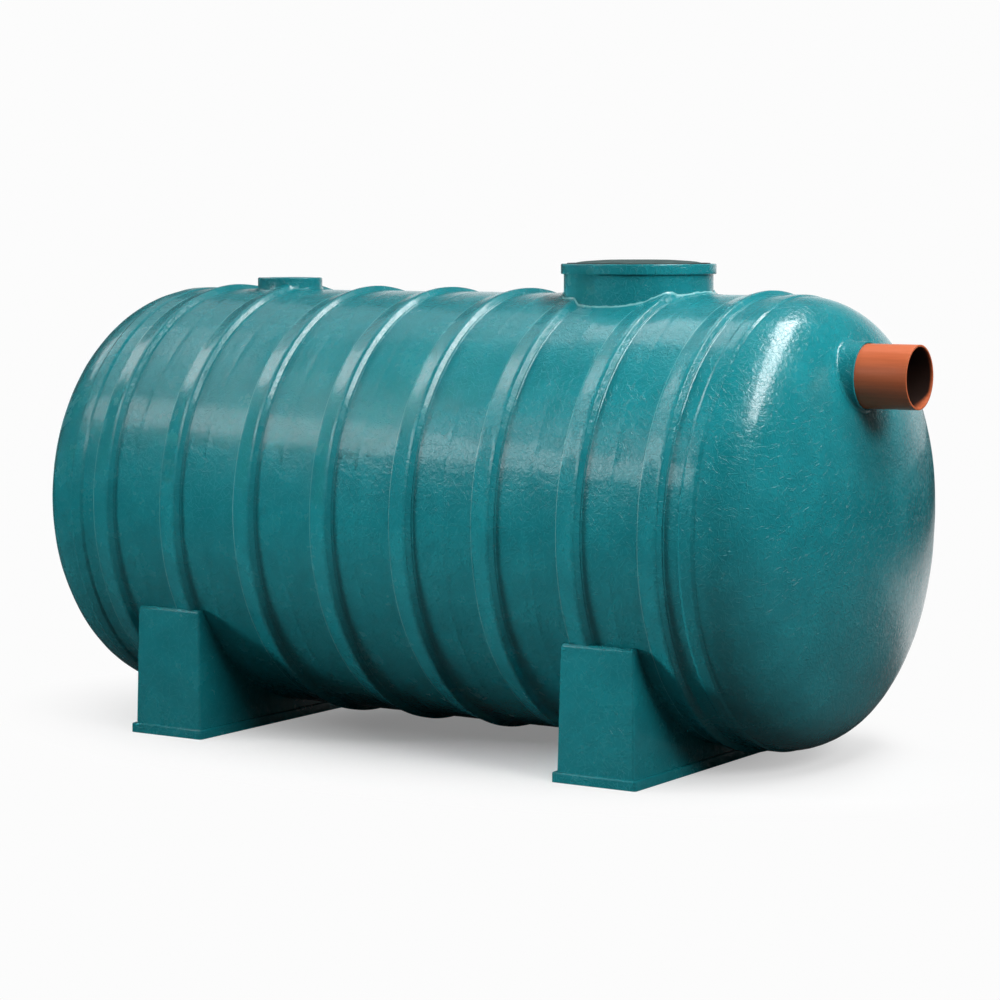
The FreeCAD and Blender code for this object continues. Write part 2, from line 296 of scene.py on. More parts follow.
def make_strand_layer():
    tree, given, result = group_with(
        "strand_layer",
        [("Place", "NodeSocketVector"), ("Cells", "NodeSocketFloat"), ("Half Width", "NodeSocketFloat"),
         ("Half Length", "NodeSocketFloat")],
        [("Strand", "NodeSocketFloat")])
    place = given.outputs["Place"]
    half_width = given.outputs["Half Width"]
    half_length = given.outputs["Half Length"]
    cell = add_node(tree, "ShaderNodeTexVoronoi", {"Vector": place, "Scale": given.outputs["Cells"]})
    normal = add_node(tree, "ShaderNodeNewGeometry").outputs["Normal"]
    offset = vectors(tree, "SUBTRACT", place, cell.outputs["Position"])
    lean = vectors(tree, "SUBTRACT", cell.outputs["Color"], (0.5, 0.5, 0.5))
    slope = vectors(tree, "DOT_PRODUCT", lean, normal)
    upright = add_node(tree, "ShaderNodeVectorMath", {0: normal, "Scale": slope}, operation="SCALE")
    along = vectors(tree, "NORMALIZE", vectors(tree, "SUBTRACT", lean, upright.outputs["Vector"]))
    across = vectors(tree, "CROSS_PRODUCT", normal, along)
    length = vectors(tree, "DOT_PRODUCT", offset, along)
    bend = maths(tree, "MULTIPLY", slope, STRAND_BOW)
    bow = maths(tree, "MULTIPLY", maths(tree, "MULTIPLY", length, length), bend)
    width = maths(tree, "ABSOLUTE", maths(tree, "ADD", vectors(tree, "DOT_PRODUCT", offset, across), bow))
    line = soft_step(tree, width, half_width, maths(tree, "MULTIPLY", half_width, STRAND_CORE))
    reach = maths(tree, "ABSOLUTE", length)
    stretch = soft_step(tree, reach, half_length, maths(tree, "MULTIPLY", half_length, STRAND_TAPER))
    tree.links.new(maths(tree, "MULTIPLY", line, stretch), result.inputs["Strand"])
    return tree


strand_layer = make_strand_layer()
print("strand layer nodes:", len(strand_layer.nodes))

# %% [markdown]
# A mat has strands over strands, so several layers with other offsets and sizes are laid over each other.
# Resin also pools and shrinks as it sets. One coarse noise stands for the pools, which mottle the colour,
# and a fine, distorted one for the crinkle of the surface.

# %% The laminate: layers of strands, mottling and crinkle
STRAND_LAYERS = (
    # cells per metre, half width, half length, offset, weight
    (20.0, 0.0018, 0.021, (0.0, 0.0, 0.0), 1.0),
    (23.0, 0.0016, 0.018, (3.1, 1.7, 8.3), 0.9),
    (26.0, 0.0015, 0.016, (1.3, 9.2, 5.5), 0.9),
    (32.0, 0.0012, 0.014, (5.9, 2.3, 7.1), 0.9),
)
MOTTLE = {"Scale": 7.0, "Detail": 4.0, "Roughness": 0.6}
CRINKLE = {"Scale": 58.0, "Detail": 2.0, "Roughness": 0.5, "Distortion": 0.8}


def make_laminate():
    tree, given, result = group_with(
        "laminate", [("Place", "NodeSocketVector")],
        [("Strands", "NodeSocketFloat"), ("Mottle", "NodeSocketFloat"), ("Crinkle", "NodeSocketFloat")])
    place = given.outputs["Place"]
    strands = None
    for cells, half_width, half_length, offset, weight in STRAND_LAYERS:
        inputs = {"Place": vectors(tree, "ADD", place, offset), "Cells": cells, "Half Width": half_width,
                  "Half Length": half_length}
        layer = add_node(tree, "ShaderNodeGroup", inputs, node_tree=strand_layer)
        strength = maths(tree, "MULTIPLY", layer.outputs["Strand"], weight)
        strands = strength if strands is None else maths(tree, "MAXIMUM", strands, strength)
    mottle = add_node(tree, "ShaderNodeTexNoise", {"Vector": place, **MOTTLE})
    crinkle = add_node(tree, "ShaderNodeTexNoise", {"Vector": place, **CRINKLE})
    tree.links.new(strands, result.inputs["Strands"])
    tree.links.new(mottle.outputs["Fac"], result.inputs["Mottle"])
    tree.links.new(crinkle.outputs["Fac"], result.inputs["Crinkle"])
    return tree


laminate = make_laminate()
print("laminate layers:", len(STRAND_LAYERS))

# %% [markdown]
# The gelcoat is a glossy coloured resin over that laminate. A plain colour with a gloss would look like a
# plastic toy, so the mottling varies its colour and its roughness, the crinkle and the strands raise it by
# bump, and a thin coat adds the wet shine. Some pieces carry an attribute named frayed, which marks the
# edges of mats. There the glass is short of resin and looks paler.

# %% Teal gelcoat
GELCOAT_DEEP = (0.0070, 0.205, 0.238, 1.0)
GELCOAT_MID = (0.0100, 0.246, 0.282, 1.0)
GELCOAT_STRAND = (0.030, 0.330, 0.365, 1.0)
GELCOAT_FRAYED = (0.200, 0.520, 0.540, 1.0)
GELCOAT_ROUGH = (0.20, 0.29)
NOISE_RANGE = (0.3, 0.7)
STRAND_SHOWS = 0.55
UNEVEN = 1.2
CRINKLE_DEPTH = 0.0030
FIBRE_DEPTH = 0.0012
COAT_WEIGHT = 0.4
COAT_ROUGH = 0.11


def make_gelcoat(name):
    material, tree, shader = new_material(name)
    place = add_node(tree, "ShaderNodeTexCoord").outputs["Object"]
    layers = add_node(tree, "ShaderNodeGroup", {"Place": place}, node_tree=laminate).outputs
    body = blend_colours(tree, soft_step(tree, layers["Mottle"], *NOISE_RANGE), GELCOAT_DEEP, GELCOAT_MID)
    strand_show = maths(tree, "MULTIPLY", layers["Strands"], STRAND_SHOWS)
    skin = blend_colours(tree, strand_show, body, GELCOAT_STRAND)
    frayed = add_node(tree, "ShaderNodeAttribute", attribute_name="frayed").outputs["Fac"]
    tree.links.new(blend_colours(tree, frayed, skin, GELCOAT_FRAYED), shader.inputs["Base Color"])
    rough = soft_step(tree, layers["Mottle"], *NOISE_RANGE, *GELCOAT_ROUGH)
    tree.links.new(rough, shader.inputs["Roughness"])
    relief = maths(tree, "MULTIPLY_ADD", layers["Mottle"], UNEVEN, layers["Crinkle"])
    crinkle = add_node(tree, "ShaderNodeBump", {"Strength": 1.0, "Distance": CRINKLE_DEPTH, "Height": relief})
    fibres = add_node(tree, "ShaderNodeBump", {"Strength": 1.0, "Distance": FIBRE_DEPTH,
                                               "Height": layers["Strands"],
                                               "Normal": crinkle.outputs["Normal"]})
    tree.links.new(fibres.outputs["Normal"], shader.inputs["Normal"])
    shader.inputs["Coat Weight"].default_value = COAT_WEIGHT
    shader.inputs["Coat Roughness"].default_value = COAT_ROUGH
    return material


gelcoat = make_gelcoat("teal_gelcoat")
print("gelcoat nodes:", len(gelcoat.node_tree.nodes))

# %% [markdown]
# Rubber and cover are simple beside the gelcoat: black rubber with a fine bloom, and a dark grey cover with
# scuffs. One helper makes both, from two near colours that a noise breaks up.

# %% Rubber and cover finishes
PATCH_NOISE = {"Detail": 6.0, "Roughness": 0.65}
PATCH_RANGE = (0.35, 0.65)
PATCH_BUMP = 0.4


def make_plain_finish(name, dark, light, grain, rough, bump, shine):
    """Finish of two near colours broken up by a noise of some grain per metre."""
    material, tree, shader = new_material(name)
    place = add_node(tree, "ShaderNodeTexCoord").outputs["Object"]
    inputs = {"Vector": place, "Scale": grain, **PATCH_NOISE}
    noise = add_node(tree, "ShaderNodeTexNoise", inputs).outputs["Fac"]
    patch = soft_step(tree, noise, *PATCH_RANGE)
    tree.links.new(blend_colours(tree, patch, dark, light), shader.inputs["Base Color"])
    tree.links.new(soft_step(tree, noise, *NOISE_RANGE, *rough), shader.inputs["Roughness"])
    relief = add_node(tree, "ShaderNodeBump", {"Strength": PATCH_BUMP, "Distance": bump, "Height": noise})
    tree.links.new(relief.outputs["Normal"], shader.inputs["Normal"])
    shader.inputs["Specular IOR Level"].default_value = shine
    return material


rubber = make_plain_finish(
    "black_rubber", dark=(0.010, 0.011, 0.011, 1), light=(0.022, 0.023, 0.023, 1), grain=160.0,
    rough=(0.5, 0.7), bump=0.0004, shine=0.3)
cover_grey = make_plain_finish(
    "cover_grey", dark=(0.045, 0.075, 0.073, 1), light=(0.075, 0.115, 0.112, 1), grain=30.0,
    rough=(0.55, 0.75), bump=0.0005, shine=0.04)
print("finishes:", rubber.name, cover_grey.name)

# %% [markdown]
# A finished piece takes the place of the solids that it stands for. It gets its finish, rides on the
# tank's one body, and names those solids, so that they are hidden.

# %% A piece joins the model
def fit_piece(piece, finish, slot, *nodes):
    """Gives a piece its finish, hides the nodes that it stands for, and lets it ride. The slot is not used.
    """
    piece.data.materials.clear()
    piece.data.materials.append(finish)
    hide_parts(*nodes)
    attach(piece, "root")
    triangles = sum(len(face.vertices) - 2 for face in piece.data.polygons)
    print("%s: %d triangles, stands for %d node(s)" % (piece.name, triangles, len(nodes)))


print("pieces ride on one body, root")

# %% [markdown]
# The barrel is one laminate with its eight hoop ribs, so one outline can hold both. A rib is mat laid over a
# former, and its section is skew: the left side rises gently from the thin edge of the mat to a narrow ridge,
# and the right side falls faster to a bead of resin at the foot.

# %% Section of a rib
RIB_EDGE = 0.0018
LEFT_FOOT, LEFT_ROOT = -0.056, -0.050
LEFT_ROUND = 0.020
RIDGE_LEFT, RIDGE_RIGHT = 0.022, 0.037
RIDGE_ROUND = 0.009
RIGHT_ROOT, BEAD_X = 0.0525, 0.0565
RIGHT_ROUND = 0.004
BEAD_HEIGHT = 0.0030
BEAD_ROUND = 0.002


def rib_corners(middle, lift=0.0):
    """The outside of one rib, left to right, as corners (x, z, rounding)."""
    rises = (0, RIB_EDGE, RIB_TOP - TANK_R, BEAD_HEIGHT)
    foot, edge, top, bead = (TANK_R + lift + rise for rise in rises)
    corners = [(LEFT_FOOT, foot, 0), (LEFT_FOOT, edge, 0), (LEFT_ROOT, edge, LEFT_ROUND),
               (RIDGE_LEFT, top, RIDGE_ROUND), (RIDGE_RIGHT, top, RIDGE_ROUND),
               (RIGHT_ROOT, edge, RIGHT_ROUND), (BEAD_X, bead, BEAD_ROUND), (RIB_FOOT, foot, 0)]
    return [(middle + x, AXIS_Z + z, rounding) for x, z, rounding in corners]


print("a rib has %d corners" % len(rib_corners(0.0)))

# %% [markdown]
# The mould and the hand lay-up leave the skin slightly wavy, which the long highlights show. A noise in the
# finish would only tilt the light, so a Displace modifier really sways the skin, by less than 3 mm either
# way. It reads the place in space, and so pieces that touch sway together. The edge of the mat at the left
# foot of each rib is marked as frayed.

# %% Sway of the skin and edges of the mat
SWAY_DEPTH = 0.0055
SWAY_SIZE = 0.34
FRAY_REACH = 0.001
FRAY_RISE = 0.0006
FRAY_SHOWS = 0.9

sway_texture = bpy.data.textures.new("hand_laid_sway", "CLOUDS")
sway_texture.noise_scale = SWAY_SIZE
sway_texture.noise_depth = 2


def sway_skin(piece):
    use_modifier(piece, "DISPLACE", texture=sway_texture, texture_coords="LOCAL", strength=SWAY_DEPTH,
                 mid_level=0.5)


def fray_edges(piece, places):
    """Marks the raised edges of mats at some places along the tank, where they show paler."""
    frayed = piece.data.attributes.new("frayed", "FLOAT", "POINT")
    for vertex in piece.data.vertices:
        rise = math.hypot(vertex.co.y, vertex.co.z - AXIS_Z) - TANK_R
        near = min(abs(vertex.co.x - place) for place in places)
        frayed.data[vertex.index].value = FRAY_SHOWS if rise > FRAY_RISE and near < FRAY_REACH else 0.0


print("the skin sways over %.2f m, by %.1f mm either way" % (SWAY_SIZE, SWAY_DEPTH * 500))

# %% [markdown]
# The barrel's outline runs along the outside from joint to joint, over the ribs, and back along the plain
# inside. Between two ribs, the mats of the skin lap over each other, which leaves one faint line in each bay,
# seldom quite in the middle. The outline is drawn in steps of 3 cm, so that the sway has vertices to move.

# %% Barrel with its ribs
ROUND_STEPS = 216
BAY_STEP = 0.030
INSIDE_STEP = 0.12
LAP_SHARES = (0.45, 0.40, 0.43, 0.38, 0.50, 0.55, 0.47)
LAP_HALF = 0.0030
LAP_HEIGHT = 0.0004
LAP_ROUND = 0.002


def spin_about_tank():
    spin_outline((0, 0, AXIS_Z), (1, 0, 0), ROUND_STEPS)


def lap_corners(middle):
    return [(middle - LAP_HALF, SKIN_Z, 0), (middle, SKIN_Z + LAP_HEIGHT, LAP_ROUND),
            (middle + LAP_HALF, SKIN_Z, 0)]


outside = [(JOINT_X[0], SKIN_Z, 0)] + rib_corners(RIB_X[0])
for left, right, share in zip(RIB_X, RIB_X[1:], LAP_SHARES):
    bay = right - left + LEFT_FOOT - RIB_FOOT
    outside += lap_corners(left + RIB_FOOT + share * bay) + rib_corners(right)
outside.append((JOINT_X[1], SKIN_Z, 0))
inside = [(JOINT_X[1], SKIN_Z - WALL, 0), (JOINT_X[0], SKIN_Z - WALL, 0, INSIDE_STEP)]
barrel = draw_outline("barrel_skin", outside + inside, BAY_STEP)
spin_about_tank()
fray_edges(barrel, [middle + LEFT_FOOT for middle in RIB_X])
sway_skin(barrel)
print("barrel faces:", len(barrel.data.polygons))

# %% [markdown]
# A dished end is a shallow crown that turns into the barrel over a tighter knuckle. A squashed sphere would
# have neither radius right, so its outline is drawn with two arcs, out along the outside and back along the
# inside, and spun round the tank's axis.

# %% Dished ends
END_STEP = 0.030


def draw_long_arc(centre, turn, radius):
    draw_arc(centre, turn, math.ceil(abs(turn) * radius / END_STEP))


def make_end(name, side, joint, apex):
    """Dished end at the left (side -1) or right (side 1) joint."""
    crown_centre = Vector((apex - side * CROWN_R, AXIS_Z))
    knuckle_centre = Vector((joint + side * FLANGE, SKIN_Z - KNUCKLE_R))
    lean = math.asin((TANK_R - KNUCKLE_R) / (CROWN_R - KNUCKLE_R))
    bend = math.pi / 2 - lean
    piece = pencil_down(name, Vector((joint, SKIN_Z)))
    draw_line(Vector((side * FLANGE, 0)))
    draw_long_arc(knuckle_centre, -side * bend, KNUCKLE_R)
    draw_long_arc(crown_centre, -side * lean, CROWN_R)
    draw_line(Vector((-side * WALL, 0)))
    draw_long_arc(crown_centre, side * lean, CROWN_R - WALL)
    draw_long_arc(knuckle_centre, side * bend, KNUCKLE_R - WALL)
    draw_line(Vector((-side * FLANGE, 0)))
    draw_line(Vector((0, WALL)))
    spin_about_tank()
    sway_skin(piece)
    return piece


end_left = make_end("end_skin_left", -1, JOINT_X[0], APEX_X[0])
end_right = make_end("end_skin_right", 1, JOINT_X[1], APEX_X[1])
apex = max(vertex.co.x for vertex in end_right.data.vertices)
print("end faces:", len(end_left.data.polygons), "apex at", round(apex, 4))

# %% [markdown]
# A laminate band covers each joint between barrel and end. It is a thin ring with soft edges that follows
# the skin below it, straight on the barrel and falling with the knuckle on the end, so it could be a strip
# of that skin pushed out. A small outline of its own gives it a clean, tapered edge, and the same texture
# sways it.

# %% Joint bands
BAND_HALF = 0.034
BAND_TAPER = 0.012
BAND_HEIGHT = 0.005
BAND_EDGE = 0.0005
BAND_ROUND = 0.006
BAND_BURIED = 0.003


def knuckle_fall(x):
    """How far the skin of an end has fallen at a distance from its joint."""
    return KNUCKLE_R - math.sqrt(KNUCKLE_R ** 2 - max(0.0, x - FLANGE) ** 2)


def make_band(name, node, side, joint):
    shoulder = BAND_HALF - BAND_TAPER
    end_fall = knuckle_fall(BAND_HALF)
    corners = [(-BAND_HALF, -BAND_BURIED, 0), (-BAND_HALF, BAND_EDGE, 0),
               (-shoulder, BAND_HEIGHT, BAND_ROUND),
               (shoulder, BAND_HEIGHT - knuckle_fall(shoulder), BAND_ROUND),
               (BAND_HALF, BAND_EDGE - end_fall, 0), (BAND_HALF, -BAND_BURIED - end_fall, 0)]
    corners = [(joint + side * x, SKIN_Z + z, rounding) for x, z, rounding in corners]
    piece = draw_outline(name, corners, BAY_STEP)
    spin_about_tank()
    sway_skin(piece)
    smooth(piece)
    fit_piece(piece, gelcoat, "gelcoat", node)


make_band("joint_wrap_left", "joint_band_left", -1, JOINT_X[0])
make_band("joint_wrap_right", "joint_band_right", 1, JOINT_X[1])

# %% [markdown]
# Where a neck stands on the barrel, wet laminate is laid from the barrel up the neck, and it drapes over
# the ribs in its way. A Boolean of tube and barrel would leave a hard seam there. The drape is made as it is
# laid instead: flat rings round the neck are projected down on to the barrel with a Shrinkwrap modifier,
# then each ring is lifted a little more than the one outside it.

# %% Rings round an axis
NECK_STEPS = 192
SMALL_STEPS = 128
HIGH_ABOVE = 0.5
RING_SLACK = 0.00004


def across_axis(factor, along_x):
    return (1, factor, factor) if along_x else (factor, factor, 1)


def along_axis(step, along_x):
    return (step, 0, 0) if along_x else (0, 0, step)


def first_ring(axis_place, radius, steps, along_x):
    """A circle about an axis through a place, along X or upright, in edit mode."""
    clear_selection()
    turn = (0, math.pi / 2, 0) if along_x else (0, 0, 0)
    bpy.ops.mesh.primitive_circle_add(vertices=steps, radius=radius, location=axis_place, rotation=turn)
    bpy.ops.object.transform_apply(location=True, rotation=True, scale=True)
    bpy.ops.object.mode_set(mode="EDIT")
    bpy.ops.mesh.select_mode(type="VERT")
    bpy.ops.mesh.select_all(action="SELECT")
    return bpy.context.object


def next_ring(axis_place, factor, along_x):
    """The selected ring extruded and scaled about the axis."""
    bpy.ops.mesh.extrude_edges_move()
    bpy.ops.transform.resize(value=across_axis(factor, along_x), center_override=axis_place)


def select_ring(piece, axis_place, radius, along_x=False):
    """Selects the vertices of one ring by their distance from the axis."""
    bpy.ops.mesh.select_all(action="DESELECT")
    sheet = bmesh.from_edit_mesh(piece.data)
    for vertex in sheet.verts:
        gap = vertex.co - Vector(axis_place)
        distance = math.hypot(gap.y, gap.z) if along_x else math.hypot(gap.x, gap.y)
        vertex.select = abs(distance - radius) < RING_SLACK
    sheet.select_flush(True)
    bmesh.update_edit_mesh(piece.data)


print("rings ready: %d steps round the manway, %d round the small necks" % (NECK_STEPS, SMALL_STEPS))

# %% Draped roots and walls
def drape_root(name, base, axis_place, rings, bore, along_x=False, steps=NECK_STEPS):
    """Root of a neck draped on a base: rings are (radius, lift) from the outer edge to the neck's wall.
    The first ring is the bore's, hidden under the laminate, and the last is left selected, in edit mode."""
    piece = first_ring(axis_place, bore[0], steps, along_x)
    piece.name = name
    before = bore[0]
    for radius, _ in rings:
        next_ring(axis_place, radius / before, along_x)
        before = radius
    bpy.ops.object.mode_set(mode="OBJECT")
    direction = {"use_project_x": True} if along_x else {"use_project_z": True}
    use_modifier(piece, "SHRINKWRAP", target=base, wrap_method="PROJECT", use_negative_direction=True,
                 use_positive_direction=False, **direction)
    bpy.ops.object.mode_set(mode="EDIT")
    for radius, lift in [bore] + rings:
        select_ring(piece, axis_place, radius, along_x)
        bpy.ops.transform.translate(value=along_axis(lift, along_x))
    return piece


def raise_wall(piece, axis_place, top, radius, bore_r, edge_round, along_x=False):
    """From the selected ring up to a level top, over it with a small round, and down to the bore ring."""
    flat = (0, 1, 1) if along_x else (1, 1, 0)
    level = (top - edge_round, *axis_place[1:]) if along_x else (*axis_place[:2], top - edge_round)
    bpy.ops.mesh.extrude_edges_move()
    bpy.ops.transform.resize(value=flat, center_override=level)
    bpy.ops.mesh.extrude_edges_move(TRANSFORM_OT_translate={"value": along_axis(edge_round, along_x)})
    inward = across_axis((radius - edge_round) / radius, along_x)
    bpy.ops.transform.resize(value=inward, center_override=axis_place)
    next_ring(axis_place, (bore_r + edge_round) / (radius - edge_round), along_x)
    bpy.ops.mesh.select_all(action="DESELECT")
    bpy.ops.mesh.select_mode(type="EDGE")
    bpy.ops.mesh.select_non_manifold(extend=False, use_wire=False, use_multi_face=False,
                                     use_non_contiguous=False, use_verts=False)
    bpy.ops.mesh.bridge_edge_loops()
    bpy.ops.mesh.select_mode(type="VERT")
    close_piece()
    smooth(piece)


print("draping tools ready")

# %% [markdown]
# The mat at the root of the manway was torn, not cut, and its upper edge stands off the neck as a wandering,
# paler lip. Its rings are moved up and down by a cloud texture, which a Displace modifier applies to them
# only, and they are marked as frayed.

# %% Torn edge of a mat
TEAR_DEPTH = 0.010
TEAR_SIZE = 0.030

tear_texture = bpy.data.textures.new("torn_edge", "CLOUDS")
tear_texture.noise_scale = TEAR_SIZE
tear_texture.noise_depth = 2


def tear_edge(piece, axis_place, radii):
    """Moves some rings up and down by a texture and marks them, and leaves the last one selected."""
    bpy.ops.object.vertex_group_add()
    for radius in radii:
        select_ring(piece, axis_place, radius)
        bpy.ops.object.vertex_group_assign()
    bpy.ops.object.mode_set(mode="OBJECT")
    use_modifier(piece, "DISPLACE", texture=tear_texture, texture_coords="LOCAL", direction="Z",
                 strength=TEAR_DEPTH, mid_level=0.5, vertex_group=piece.vertex_groups[0].name)
    piece.vertex_groups.clear()
    frayed = piece.data.attributes.new("frayed", "FLOAT", "POINT")
    for vertex in piece.data.vertices:
        reach = math.hypot(vertex.co.x - axis_place[0], vertex.co.y - axis_place[1])
        frayed.data[vertex.index].value = float(radii[-2] - MERGE < reach < radii[0] + MERGE)
    bpy.ops.object.mode_set(mode="EDIT")
    select_ring(piece, axis_place, radii[-1])


print("torn edges wander by %.0f mm either way" % (TEAR_DEPTH * 500))

# %% [markdown]
# The manway's neck is a short tube, wide enough for a person. Its root reaches 6 cm out over the barrel and
# the ribs beside it, and its top ends level under the rim.

# %% Manway neck
rim_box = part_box("manway_rim")
RIM_OVERHANG = 0.012
MANWAY_X = (rim_box[0].x + rim_box[1].x) / 2
RIM_R = (rim_box[1].x - rim_box[0].x) / 2
MANWAY_R = RIM_R - RIM_OVERHANG
RIM_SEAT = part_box("manway_neck")[1].z
MANWAY_BORE = MANWAY_R - WALL
MANWAY_EDGE = 0.0015
BORE_BURIED = -0.012
# reach beyond the neck's wall, lift over the barrel
ROOT_RINGS = ((0.0605, -0.003), (0.060, 0.0008), (0.058, 0.0010), (0.045, 0.0012), (0.032, 0.0017),
              (0.022, 0.0026), (0.0155, 0.0038), (0.0110, 0.0056), (0.0082, 0.0080), (0.0066, 0.0105),
              (0.0054, 0.0116), (0.0034, 0.0112), (0.0014, 0.0092), (0.0, 0.0050))
TORN_RINGS = 6

manway_place = (MANWAY_X, 0, SKIN_Z + HIGH_ABOVE)
manway_rings = [(MANWAY_R + reach, lift) for reach, lift in ROOT_RINGS]
manway_neck = drape_root("manway_tube", barrel, manway_place, manway_rings, (MANWAY_BORE, BORE_BURIED))
tear_edge(manway_neck, manway_place, [radius for radius, _ in manway_rings[-TORN_RINGS:]])
raise_wall(manway_neck, manway_place, RIM_SEAT, MANWAY_R, MANWAY_BORE, MANWAY_EDGE)
fit_piece(manway_neck, gelcoat, "gelcoat", "manway_neck")

# %% [markdown]
# The small neck takes a vent or a filling pipe. It is made as the manway's neck is, with a narrower root and
# no torn edge, because its mat was rolled down well.

# %% Small neck
lip_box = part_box("small_neck_lip")
NECK_X = (lip_box[0].x + lip_box[1].x) / 2
NECK_R = (lip_box[1].x - lip_box[0].x) / 2
NECK_TOP = lip_box[0].z
NECK_BORE = NECK_R - WALL
NECK_EDGE = 0.0008
NECK_RINGS = ((0.0455, -0.003), (0.045, 0.001), (0.0435, 0.0014), (0.030, 0.0016), (0.019, 0.0022),
              (0.011, 0.0034), (0.006, 0.0052), (0.0025, 0.0075), (0.0, 0.0105))

small_place = (NECK_X, 0, SKIN_Z + HIGH_ABOVE)
small_rings = [(NECK_R + reach, lift) for reach, lift in NECK_RINGS]
small_neck = drape_root("small_neck_tube", barrel, small_place, small_rings, (NECK_BORE, BORE_BURIED),
                        steps=SMALL_STEPS)
raise_wall(small_neck, small_place, NECK_TOP, NECK_R, NECK_BORE, NECK_EDGE)
fit_piece(small_neck, gelcoat, "gelcoat", "small_neck")

# %% [markdown]
# The drain pipe passes the right end in a low collar of laminate. The same tools make it, with rings about
# an axis along the tank that are projected sideways on to the dished end.

# %% Pipe collar
collar_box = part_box("pipe_collar")
pipe_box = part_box("drain_pipe")
PIPE_Y = (pipe_box[0].y + pipe_box[1].y) / 2
PIPE_Z = (pipe_box[0].z + pipe_box[1].z) / 2
PIPE_R = (pipe_box[1].z - pipe_box[0].z) / 2
COLLAR_WALL = 0.0093
COLLAR_R = PIPE_R + COLLAR_WALL
COLLAR_FACE = collar_box[1].x
COLLAR_EDGE = 0.002
COLLAR_RINGS = ((0.0135, -0.003), (0.013, 0.0008), (0.012, 0.0012), (0.008, 0.0024), (0.0045, 0.0045),
                (0.0018, 0.0072), (0.0, 0.0105))

collar_place = (COLLAR_FACE + HIGH_ABOVE, PIPE_Y, PIPE_Z)
collar_rings = [(COLLAR_R + reach, lift) for reach, lift in COLLAR_RINGS]
collar = drape_root("collar_ring", end_right, collar_place, collar_rings, (PIPE_R, BORE_BURIED),
                    along_x=True, steps=SMALL_STEPS)
raise_wall(collar, collar_place, COLLAR_FACE, COLLAR_R, PIPE_R, COLLAR_EDGE, along_x=True)
fit_piece(collar, gelcoat, "gelcoat", "pipe_collar")

# %% [markdown]
# With the roots laid, the holes are cut: one through the barrel under each neck, and one through the right
# end for the pipe. Faces could be deleted by hand, but the edge would be ragged. A cutter is a plain
# cylinder that a Boolean modifier takes away.

# %% Holes under the necks and the pipe
HOLE_DEPTH = 0.6


def cut_hole(piece, place, radius, along_x=False):
    clear_selection()
    turn = (0, math.pi / 2, 0) if along_x else (0, 0, 0)
    bpy.ops.mesh.primitive_cylinder_add(vertices=NECK_STEPS, radius=radius, depth=HOLE_DEPTH, location=place,
                                        rotation=turn)
    cutter = bpy.context.object
    use_modifier(piece, "BOOLEAN", object=cutter, operation="DIFFERENCE", solver="MANIFOLD")
    bpy.data.objects.remove(cutter)


cut_hole(barrel, (MANWAY_X, 0, SKIN_Z), MANWAY_R - WALL / 2)
cut_hole(barrel, (NECK_X, 0, SKIN_Z), NECK_R - WALL / 2)
cut_hole(end_right, (COLLAR_FACE, PIPE_Y, PIPE_Z), PIPE_R + COLLAR_WALL / 2, along_x=True)
for skin in (barrel, end_left, end_right):
    smooth(skin)
print("frayed vertices on the barrel:", sum(mark.value > 0 for mark in barrel.data.attributes["frayed"].data))

# %% Barrel and ends join the model
STAVES = ["barrel_" + name for name in (
    "top", "front_shoulder", "back_shoulder", "front_upper", "front_lower", "bottom_front", "bottom_back",
    "back_lower", "back_upper")]
fit_piece(barrel, gelcoat, "gelcoat", *STAVES, *RIB_NODES)
fit_piece(end_left, gelcoat, "gelcoat", "dished_end_left")
fit_piece(end_right, gelcoat, "gelcoat", "dished_end_right")

# %% [markdown]
# The manway's rim is a heavy ring that projects beyond the neck, with a rebate in its top for the cover. A
# black rubber profile lies in the rebate and grips the cover's edge. Both could be stacked from tubes, but
# one outline each keeps their steps and rounds in one skin. They are turned round one upright axis.

# %% Manway rim
RIM_TOP = rim_box[1].z
RIM_UNDER = rim_box[0].z
RIM_LEDGE = 0.038
REBATE_DEPTH = 0.014
SEAT_WIDTH = 0.026
RIM_ROUND = 0.005
LEDGE_ROUND = 0.002
REBATE_ROUND = 0.001
BRINK_ROUND = 0.003
LEDGE_R = MANWAY_R - RIM_LEDGE
REBATE_R = LEDGE_R + SEAT_WIDTH
REBATE_Z = RIM_TOP - REBATE_DEPTH
LATHE_STEPS = 192


def turn_upright(name, middle, corners, longest=ONE_STEP):
    """Piece turned about an upright axis at x, from corners (radius, z, rounding)."""
    piece = draw_outline(name, [(middle + radius, z, rounding) for radius, z, rounding in corners], longest)
    spin_outline((middle, 0, 0), (0, 0, 1), LATHE_STEPS)
    smooth(piece)
    return piece


rim = turn_upright("manway_rim_ring", MANWAY_X, [
    (LEDGE_R, RIM_SEAT, LEDGE_ROUND), (LEDGE_R, REBATE_Z, REBATE_ROUND), (REBATE_R, REBATE_Z, REBATE_ROUND),
    (REBATE_R, RIM_TOP, BRINK_ROUND), (RIM_R, RIM_TOP, RIM_ROUND), (RIM_R, RIM_UNDER, RIM_ROUND),
    (MANWAY_R, RIM_UNDER, 0), (MANWAY_R, RIM_SEAT, 0)])
fit_piece(rim, gelcoat, "gelcoat", "manway_rim")

